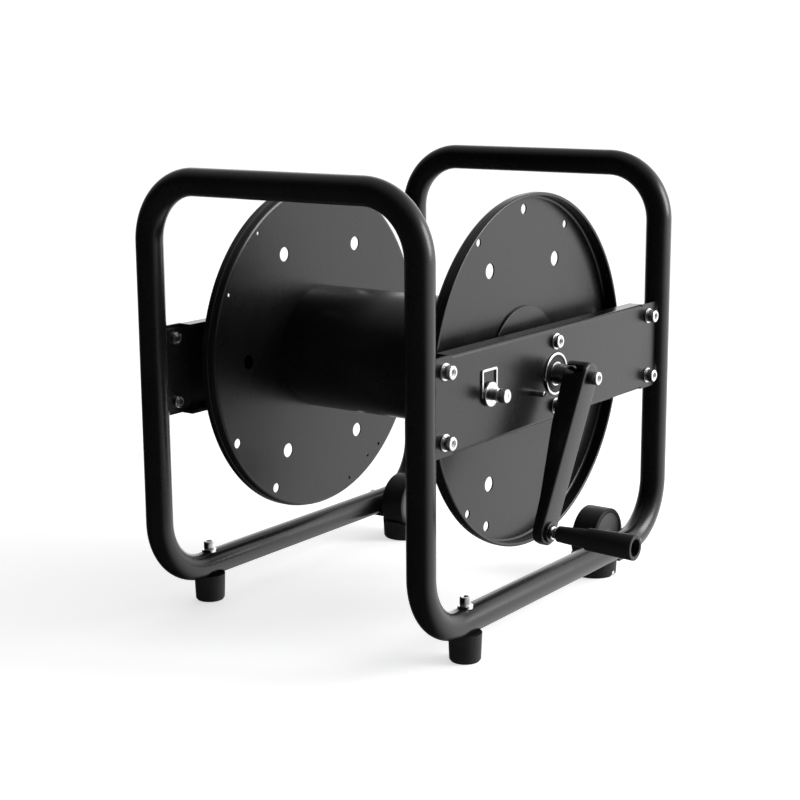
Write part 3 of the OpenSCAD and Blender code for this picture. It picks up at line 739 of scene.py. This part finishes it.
def flange_mesh(small_holes, mirror):
    """One pressing: a flat disc, a bend, the dish wall and a bead rolled outwards round the edge."""
    disc_r = RIM_R - 0.9 - DISH_BEND_R
    steps = 8

    def bend(x, r):
        """A quarter bend of radius r from the disc to the dish wall, with its flat start at x."""
        arc = [(x, disc_r)]
        for k in range(1, steps + 1):
            a = math.pi / 2 * k / steps
            arc.append((FLANGE_IN + DISH_BEND_R - r * math.cos(a), disc_r + r * math.sin(a)))
        return arc

    bead_start, bead_back = DISH_END - 7.5, DISH_END - 7.0
    bead_low = 170.8
    bead = rounded([(bead_start, 173.7, 0), (bead_back, RIM_R, 0.8), (DISH_END, RIM_R, 1.9),
                    (DISH_END, bead_low, 1.9), (bead_back, bead_low, 0.8), (bead_start, DISH_R, 0)],
                   0.5, steps=6, closed=False)
    outside = bend(FLANGE_IN, DISH_BEND_R)
    inside = bend(FLANGE_IN + FLANGE_T, DISH_BEND_R - FLANGE_T)
    profile = [(FLANGE_IN, HUB_BORE)] + outside + bead + inside[::-1] + [(FLANGE_IN + FLANGE_T, HUB_BORE)]
    bm = bmesh.new()
    lathe(bm, profile, mm(0, *AXIS), count=240)
    holes = []
    for angle, at, r in BIG_HOLES + small_holes:
        a = math.radians(angle)
        place = (at * math.cos(a), AXIS_Z + at * math.sin(a))
        holes.append(rod_cutter(FLANGE_IN - 2, r, 6, place, 64 if r > 5 else 40))
    mesh = cut(mesh_of(bm, "flange"), holes, 0.25)
    return flipped(mesh) if mirror else mesh


finished("flange_right", flange_mesh(RIGHT_SMALL, False), "drum", ["right_flange", "right_rim"],
         COAT, 30, True)
finished("flange_left", flange_mesh(LEFT_SMALL, True), "drum", ["left_flange", "left_rim"],
         COAT, 30, True)
CORE_BORE = 62.5
core_profile = [(-FLANGE_IN, CORE_BORE), (-FLANGE_IN, CORE_R), (FLANGE_IN, CORE_R), (FLANGE_IN, CORE_BORE)]
core = dict(profile=rounded(core_profile, 0.2), origin=mm(0, *AXIS), count=180)
turned("core", [core], "drum", ["core_tube"], "black_powder_coat", COAT)
hub_profile = rounded([(0, 10.02, 0), (0, 63.5, 0), (2.5, 63.5), (2.5, 18.5, 1.5), (6, 16, 1.5), (10, 16),
                       (10, 10.02, 0)], 0.5)
hub_plate = dict(profile=hub_profile, origin=mm(FLANGE_IN + FLANGE_T, *AXIS), count=144)
turned("drum_hub_plates", [mirrored(hub_plate, m) for m in sides], "drum", ["hub_plates"],
       "black_powder_coat", COAT)
shaft_profile = [(-171, 0, 0), (-171, 10, 0.8), (-167.4, 10, 0), (-167.4, 9.2, 0), (-166, 9.2, 0),
                 (-166, 10, 0), (SHAFT_END, 10, 0.3), (SHAFT_END, M8_BORE, 0), (158, M8_BORE, 0),
                 (158, 0, 0)]
shaft = dict(profile=rounded(shaft_profile, 0, closed=False), origin=mm(0, *AXIS), closed=False)
turned("drum_shaft", [shaft], "drum", ["shaft"], "machined_steel", STEEL)

# ---------------------------------------------------------------- crank

CONE_L = 8
cone = rounded([(0, M8_BORE, 0), (0, 10), (CONE_L, 5.6), (CONE_L, M8_BORE, 0)], 0.25)
turned("crank_taper_ring", [dict(profile=cone, origin=mm(SHAFT_END, *AXIS))], "drum", ["crank_cone"],
       "zinc_plated_steel", STEEL)
turned("crank_spacer", [ring_part(SHAFT_END + CONE_L, 8, M8_BORE, 14, AXIS)], "drum", ["crank_boss"],
       "black_powder_coat", COAT)


def arm_outline(inset, count=24):
    """Outline of the arm with the hub at (0, 0) and the arm along negative v, as (u, v) points."""
    w = ARM_HALF_W - inset
    corner = 10 - inset
    end = THROW + ARM_END - inset
    top_r = ARM_TOP_R - inset
    meet = math.acos(w / top_r)
    points = []
    for k in range(count * 4 + 1):
        a = meet + (math.pi - 2 * meet) * k / (count * 4)
        points.append((top_r * math.cos(a), top_r * math.sin(a)))
    straight = 40
    top_v = top_r * math.sin(meet)
    for k in range(1, straight):
        points.append((-w, top_v + (-end + corner - top_v) * k / straight))
    for k in range(count + 1):
        a = math.pi + math.pi / 2 * k / count
        points.append((-w + corner + corner * math.cos(a), -end + corner + corner * math.sin(a)))
    for k in range(count + 1):
        a = 1.5 * math.pi + math.pi / 2 * k / count
        points.append((w - corner + corner * math.cos(a), -end + corner + corner * math.sin(a)))
    for k in range(1, straight):
        points.append((w, -end + corner + (top_v + end - corner) * k / straight))
    return points


def arm_back(u, v):
    """How far back the arm's side wall reaches at a place on its outline. It is notched beside the hub."""
    if u < -3 and -2 < v < 7.5:
        return WEB - 4
    along = -v
    for (l1, x1), (l2, x2) in zip(ARM_BACK, ARM_BACK[1:]):
        if along <= l2:
            return x1 + (x2 - x1) * max(0, along - l1) / (l2 - l1)
    return ARM_BACK[-1][1]


def arm_point(x, u, v):
    """A point of the arm's own coordinates, hung at the crank angle."""
    y = u * math.cos(CRANK_ANGLE) + v * math.sin(CRANK_ANGLE)
    z = -u * math.sin(CRANK_ANGLE) + v * math.cos(CRANK_ANGLE)
    return mm(x, y, AXIS_Z + z)


def arm_mesh():
    """The pressed channel: an outer skin and an inner skin joined along the open back edge."""
    flat = arm_outline(0)
    outer = [[arm_point(arm_back(u, v), u, v) for u, v in flat]]
    outer.append([arm_point(WEB - ARM_BEND_R, u, v) for u, v in flat])
    for k in range(1, 7):
        a = math.pi / 2 * k / 6
        ring = arm_outline(ARM_BEND_R * (1 - math.cos(a)))
        outer.append([arm_point(WEB - ARM_BEND_R + ARM_BEND_R * math.sin(a), u, v) for u, v in ring])
    inner_flat = arm_outline(ARM_SHEET)
    inner = [[arm_point(arm_back(u, v), *w) for (u, v), w in zip(flat, inner_flat)]]
    inner_r = ARM_BEND_R - ARM_SHEET
    for k in range(4):
        a = math.pi / 2 * k / 3
        ring = arm_outline(ARM_SHEET + inner_r * (1 - math.cos(a)))
        x = WEB - ARM_SHEET - inner_r + inner_r * math.sin(a)
        inner.append([arm_point(x, u, v) for u, v in ring])
    bm = bmesh.new()
    rows = list(reversed(inner)) + outer
    verts = loft(bm, rows)
    bm.faces.new(verts[0])
    bm.faces.new(verts[-1])
    boss = rounded([(-0.5, 4.1, 0), (-0.5, 10, 0), (3, 10, 0.8), (3, 7.5, 0.4), (2.4, 7, 0.3),
                    (2.4, 4.1, 0)], 0.3)
    lathe(bm, boss, mm(WEB, HANDLE_Y, HANDLE_Z))
    return mesh_of(bm, "arm")


finished("crank_arm_pressing", arm_mesh(), "drum", ["crank_arm"], COAT, 40)
turned("crank_hub_screw", [cap_screw_part(WEB + 0.5, AXIS, shank=42)], "drum", ["crank_bolt"],
       "zinc_plated_steel", ZINC, 30)
turned("handle_screw", [cap_screw_part(HANDLE_SCREW_X, HANDLE, shank=67.2)], "drum", ["handle_spindle"],
       "zinc_plated_steel", ZINC, 30)
bush = rounded([(3, M8_BORE, 0), (3, 6.3), (5, 6.3), (5, 5), (10, 5), (10, M8_BORE, 0)], 0.3)
turned("handle_bush", [dict(profile=bush, origin=mm(WEB, *HANDLE))], "drum", ["handle_spacer"],
       "zinc_plated_steel", ZINC)
turned("handle_lock_nut", [nut_part(HANDLE_NUT_X, HANDLE, M8_NUT_R, M8_BORE, 6.5)], "drum", ["handle_nut"],
       "zinc_plated_steel", ZINC, 25)
collar = rounded([(0, 4.06, 0), (0, 7.5, 0.5), (COLLAR_L, 9.25, 0.8), (COLLAR_L, 8.13, 0),
                  (COLLAR_TAIL, 8.13), (COLLAR_TAIL, 4.06, 0)], 0.4)
turned("handle_collar", [dict(profile=collar, origin=mm(COLLAR_X, *HANDLE))], "grip", ["grip_collar"],
       "black_plastic", GRIP)
grip_l = GRIP_END - GRIP_X
sleeve = rounded([(0, 8.15, 0), (0, 10.6, 1.2), (grip_l, 12.05, 1.0), (grip_l, 8.15, 0.8)], 0.4, steps=6)
turned("handle_grip", [dict(profile=sleeve, origin=mm(GRIP_X, *HANDLE), count=120)], "grip", ["grip_sleeve"],
       "black_plastic", GRIP)

# ---------------------------------------------------------------- lock plunger

KEEPER_T = 1.6
turned("plunger_collar",
       [ring_part(PLATE_OUT + KEEPER_T, 11.5, PLUNGER_NECK_R + FIT_GAP, 2.4, PLUNGER, 0.6, 120)],
       "stand", ["plunger_flange"], "zinc_plated_steel", ZINC)
barrel = rounded([(133, 6.06, 0), (133, 9, 0.8), (PLATE_IN, 9, 0.5), (PLATE_IN, PLUNGER_NECK_R, 0),
                  (173.8, PLUNGER_NECK_R, 0.6), (173.8, 3.06, 0), (159.5, 3.06, 0), (159.5, 6.06, 0)], 0)
turned("plunger_barrel", [dict(profile=barrel, origin=mm(0, *PLUNGER), count=120)], "stand", ["plunger_body"],
       "machined_steel", STEEL)
nose = rounded([(126.9, 0, 0), (126.9, 4.5, 0.4), (128.4, 6, 0.4), (141.9, 6, 0.4), (141.9, 3, 0),
                (182.5, 3, 0), (182.5, 0, 0)], 0, closed=False)
turned("plunger_pin", [dict(profile=nose, origin=mm(0, *PLUNGER), closed=False)], "plunger", ["lock_pin"],
       "zinc_plated_steel", ZINC)


def knob_part():
    """The pull knob: a thin collar, a neck and a knurled head with a turned face."""
    profile = [(173.9, 3.02), (173.9, 5.9), (174.1, 6.3), (175.3, 6.3), (175.5, 6.0), (175.6, 5.2),
               (176.0, 5.2), (176.1, 6.1), (176.5, 6.5), (183.6, 6.5), (184.1, 6.3), (184.5, 5.8),
               (184.5, 2.2), (184.1, 1.8), (184.1, 0), (182.5, 0), (182.5, 3.02)]
    rows = {8, 9}

    def shape(i, angle, radius):
        return radius - 0.16 * (1 + math.cos(angle * 40)) if i in rows else radius

    return dict(profile=profile, origin=mm(0, *PLUNGER), count=240, shape=shape, closed=True)


turned("plunger_knob", [knob_part()], "plunger", ["lock_knob"], "zinc_plated_steel", ZINC, 30)


def keeper_mesh():
    """A flat wire bail: two legs and a top bar with rounded corners."""
    half, top, leg, corner = 13, 24, 2.4, 3.2

    def outline(inset):
        points = [(-half + inset, -2)]
        r = corner - inset
        for k in range(9):
            a = math.pi - math.pi / 2 * k / 8
            points.append((-half + inset + r + r * math.cos(a), top - inset - r + r * math.sin(a)))
        for k in range(9):
            a = math.pi / 2 - math.pi / 2 * k / 8
            points.append((half - inset - r + r * math.cos(a), top - inset - r + r * math.sin(a)))
        return points + [(half - inset, -2)]

    section = rounded([(0, 0), (0, KEEPER_T), (leg, KEEPER_T), (leg, 0)], 0.35)
    rows = []
    for inset, height in section:
        rows.append([mm(PLATE_OUT + height, PLUNGER_Y + u, AXIS_Z + v) for u, v in outline(inset)])
    bm = bmesh.new()
    rows.append(rows[0])
    verts = loft(bm, rows, closed=False)
    bmesh.ops.remove_doubles(bm, verts=bm.verts, dist=1e-7)
    bmesh.ops.holes_fill(bm, edges=bm.edges, sides=0)
    return mesh_of(bm, "keeper")


finished("plunger_bail", keeper_mesh(), "stand", ["lock_keeper"], WIRE, 40)
pin_back, pin_tip = (corner[0] for corner in corners("stop_pin"))
pin = rounded([(pin_back, 0, 0), (pin_back, STOP_PIN_R, 0), (pin_tip, STOP_PIN_R, 0.9), (pin_tip, 0, 0)], 0,
              closed=False)
turned("plate_pin", [dict(profile=pin, origin=mm(0, *STOP_PIN), closed=False, count=64)], "stand",
       ["stop_pin"], "zinc_plated_steel", ZINC)

# ---------------------------------------------------------------- feet and wheels

softened("front_buffers", "front_feet", "stand", 0.9, RUBBER, segments=4)
softened("rear_shoes", "rear_feet", "stand", 0.6, RUBBER, segments=3)
softened("rear_shoe_tabs", "rear_foot_tabs", "stand", 0.4, COAT)
softened("buffer_washers", "front_foot_washers", "stand", 0.25, ZINC)


def foot_screw_parts():
    """The two socket-head screws that stand on the front runners."""
    parts = []
    for side in (-1, 1):
        part = cap_screw_part(0, (0, 0), head_r=5.2, head_h=8.4, shank_r=3.0, shank=38.6)
        part["axis"] = "Z"
        part["origin"] = mm(side * HALF_W, -FOOT_Y, RUNNER_Z + TUBE_R + FOOT_WASHER_T)
        parts.append(part)
    return parts


turned("buffer_screws", foot_screw_parts(), "stand", ["front_foot_screws"], "zinc_plated_steel", ZINC, 30)

TYRE_EDGE_R = WHEEL_R - 1
tyre_profile = rounded([(0, WHEEL_HUB_R, 0.3), (0, TYRE_EDGE_R, 0.8), (1.2, WHEEL_R, 0.9),
                        (WHEEL_W - 1.2, WHEEL_R, 0.9), (WHEEL_W, TYRE_EDGE_R, 0.8),
                        (WHEEL_W, WHEEL_HUB_R, 0.3)], 0.3, steps=5)
HUB_FACE = WHEEL_W - 0.8
hub_face = [(HUB_FACE, WHEEL_HUB_R - FIT_GAP, 0), (HUB_FACE, 25.2, 0.3), (HUB_FACE - 0.6, 24.6, 0.3),
            (HUB_FACE - 0.6, 9.5, 0.4), (HUB_FACE, 8.6, 0.4), (HUB_FACE, 4.08, 0.3)]
hub_profile = rounded(hub_face + [(WHEEL_W - a, r, *f) for a, r, *f in reversed(hub_face)], 0.3)
for label, m in (("right", False), ("left", True)):
    body = f"wheel_{label}"
    origin = mm(WHEEL_OUT - WHEEL_W, WHEEL_Y, WHEEL_Z)
    turned(f"roller_tyre_{label}", [mirrored(dict(profile=tyre_profile, origin=origin, count=120), m)], body,
           [f"tyre_{label}"], "tyre_rubber", TYRE)
    turned(f"roller_hub_{label}", [mirrored(dict(profile=hub_profile, origin=origin, count=120), m)], body,
           [f"wheel_hub_{label}"], "grey_plastic", HUB)
AXLE_HEAD_X = HALF_W + TUBE_R + 0.2
AXLE_NUT_X = 105.5
turned("axle_screws", [mirrored(cap_screw_part(AXLE_HEAD_X, AXLE, head_h=5, shank=67.7), m) for m in sides],
       "stand", ["axle_bolts"], "zinc_plated_steel", ZINC, 30)
turned("axle_lock_nuts", [mirrored(nut_part(AXLE_NUT_X, AXLE, M8_NUT_R, M8_BORE, 6.5), m) for m in sides],
       "stand", ["axle_nuts"], "zinc_plated_steel", ZINC, 25)
softened("axle_bushes", "axle_spacers", "stand", 0.3, ZINC)

# ---------------------------------------------------------------- CAD nodes that stay as they are

kept = {
    "runner_sleeves": STEEL,
    "bearing_balls_right": CHROME,
    "bearing_balls_left": CHROME,
    "shaft_clip": STEEL,
    "lock_spring": WIRE,
    "front_foot_inserts": ZINC,
    "rear_foot_screws": ZINC,
}
for node, material in kept.items():
    mesh = frame["nodes"][node].data
    mesh.materials.clear()
    mesh.materials.append(material)

# ---------------------------------------------------------------- floor, lights and camera


FLOOR_REACH = 40
FLOOR_GLOW = 0.62
KEY_AT = (2.3, 1.5, 1.3)
KEY_AIM = (0, 0, 0.2)
KEY_SIZE = (1.4, 1.6)
KEY_POWER = 60
# Soft glows of the studio: (direction, where it starts, where it is full, strength), the starts and
# ends as cosines of the angle from the direction.
GLOWS = [
    ((0.62, 0.78, -0.1), 0.2, 0.98, 1.2),
    ((-0.57, 0.82, 0.02), 0.80, 0.97, 1.1),
    ((0, 0.8, 0.6), -0.3, 1.0, 0.5),
]
CAMERA_AT = (975.958, -1388.187, 556.102)
CAMERA_ANGLES = (35.729, 11.74, -0.371)
CAMERA_LENS = 75.308


def floor():
    """A wide pale floor that glows a little, so that it fades into the white studio."""
    mesh = bpy.data.meshes.new("floor")
    square = [(x * FLOOR_REACH, y * FLOOR_REACH, 0) for x, y in ((-1, -1), (1, -1), (1, 1), (-1, 1))]
    mesh.from_pydata(square, [], [(0, 1, 2, 3)])
    piece = bpy.data.objects.new("floor", mesh)
    bpy.context.scene.collection.objects.link(piece)
    n = Nodes("floor_pale")
    n.link(n.colours(n.spread(n.noise(3, detail=3), 0, 1), (0.86, 0.86, 0.87), (0.88, 0.88, 0.89)),
           n.shader.inputs["Base Color"])
    n.set(Roughness=0.9, Specular_IOR_Level=0.1)
    n.set(Emission_Color=(1, 1, 1, 1), Emission_Strength=FLOOR_GLOW)
    piece.visible_glossy = False
    mesh.materials.append(n.material)


def area_light(name, at, aim, size, power):
    """A rectangular soft box that points at aim, all in metres and watts."""
    lamp = bpy.data.lights.new(name, "AREA")
    lamp.shape, lamp.size, lamp.size_y = "RECTANGLE", size[0], size[1]
    lamp.energy = power
    holder = bpy.data.objects.new(name, lamp)
    holder.location = at
    holder.rotation_euler = (Vector(aim) - Vector(at)).to_track_quat("-Z", "Y").to_euler()
    bpy.context.scene.collection.objects.link(holder)


def glow(tree, direction, aim, start, full, strength):
    """Light from one part of the studio: strength at the direction aim, nothing far away from it."""
    dot = tree.nodes.new("ShaderNodeVectorMath")
    dot.operation = "DOT_PRODUCT"
    dot.inputs[1].default_value = Vector(aim).normalized()
    ramp = tree.nodes.new("ShaderNodeMapRange")
    ramp.interpolation_type = "SMOOTHSTEP"
    ramp.inputs["From Min"].default_value = start
    ramp.inputs["From Max"].default_value = full
    ramp.inputs["To Min"].default_value = 0
    ramp.inputs["To Max"].default_value = strength
    tree.links.new(direction, dot.inputs[0])
    tree.links.new(dot.outputs["Value"], ramp.inputs["Value"])
    return ramp.outputs["Result"]


def world():
    """A studio that is bright behind the object and to the right of it, and dark in front."""
    sky = bpy.data.worlds.new("studio")
    sky.use_nodes = True
    tree = sky.node_tree
    back = tree.nodes["Background"]
    back.inputs["Color"].default_value = (1, 1, 1, 1)
    direction = tree.nodes.new("ShaderNodeTexCoord").outputs["Generated"]
    total, *others = [glow(tree, direction, *each) for each in GLOWS]
    for part in others:
        add = tree.nodes.new("ShaderNodeMath")
        tree.links.new(total, add.inputs[0])
        tree.links.new(part, add.inputs[1])
        total = add.outputs[0]
    tree.links.new(total, back.inputs["Strength"])
    bpy.context.scene.world = sky


def camera():
    """The viewing angle, with its small roll, and the lens."""
    azimuth, elevation, roll = (math.radians(a) for a in CAMERA_ANGLES)
    forward = Vector((-math.sin(azimuth) * math.cos(elevation), math.cos(azimuth) * math.cos(elevation),
                      -math.sin(elevation)))
    right = Vector((math.cos(azimuth), math.sin(azimuth), 0))
    up = right.cross(forward)
    right, up = right * math.cos(roll) + up * math.sin(roll), up * math.cos(roll) - right * math.sin(roll)
    lens = bpy.data.cameras.new("camera")
    lens.sensor_width, lens.lens = 36, CAMERA_LENS
    lens.clip_start, lens.clip_end = 0.05, 60
    holder = bpy.data.objects.new("camera", lens)
    holder.matrix_world = Matrix((right, up, -forward)).transposed().to_4x4()
    holder.location = mm(*CAMERA_AT)
    bpy.context.scene.collection.objects.link(holder)
    bpy.context.scene.camera = holder


floor()
world()
area_light("key_right", KEY_AT, KEY_AIM, KEY_SIZE, KEY_POWER)
camera()
bpy.context.scene.view_settings.view_transform = "Standard"
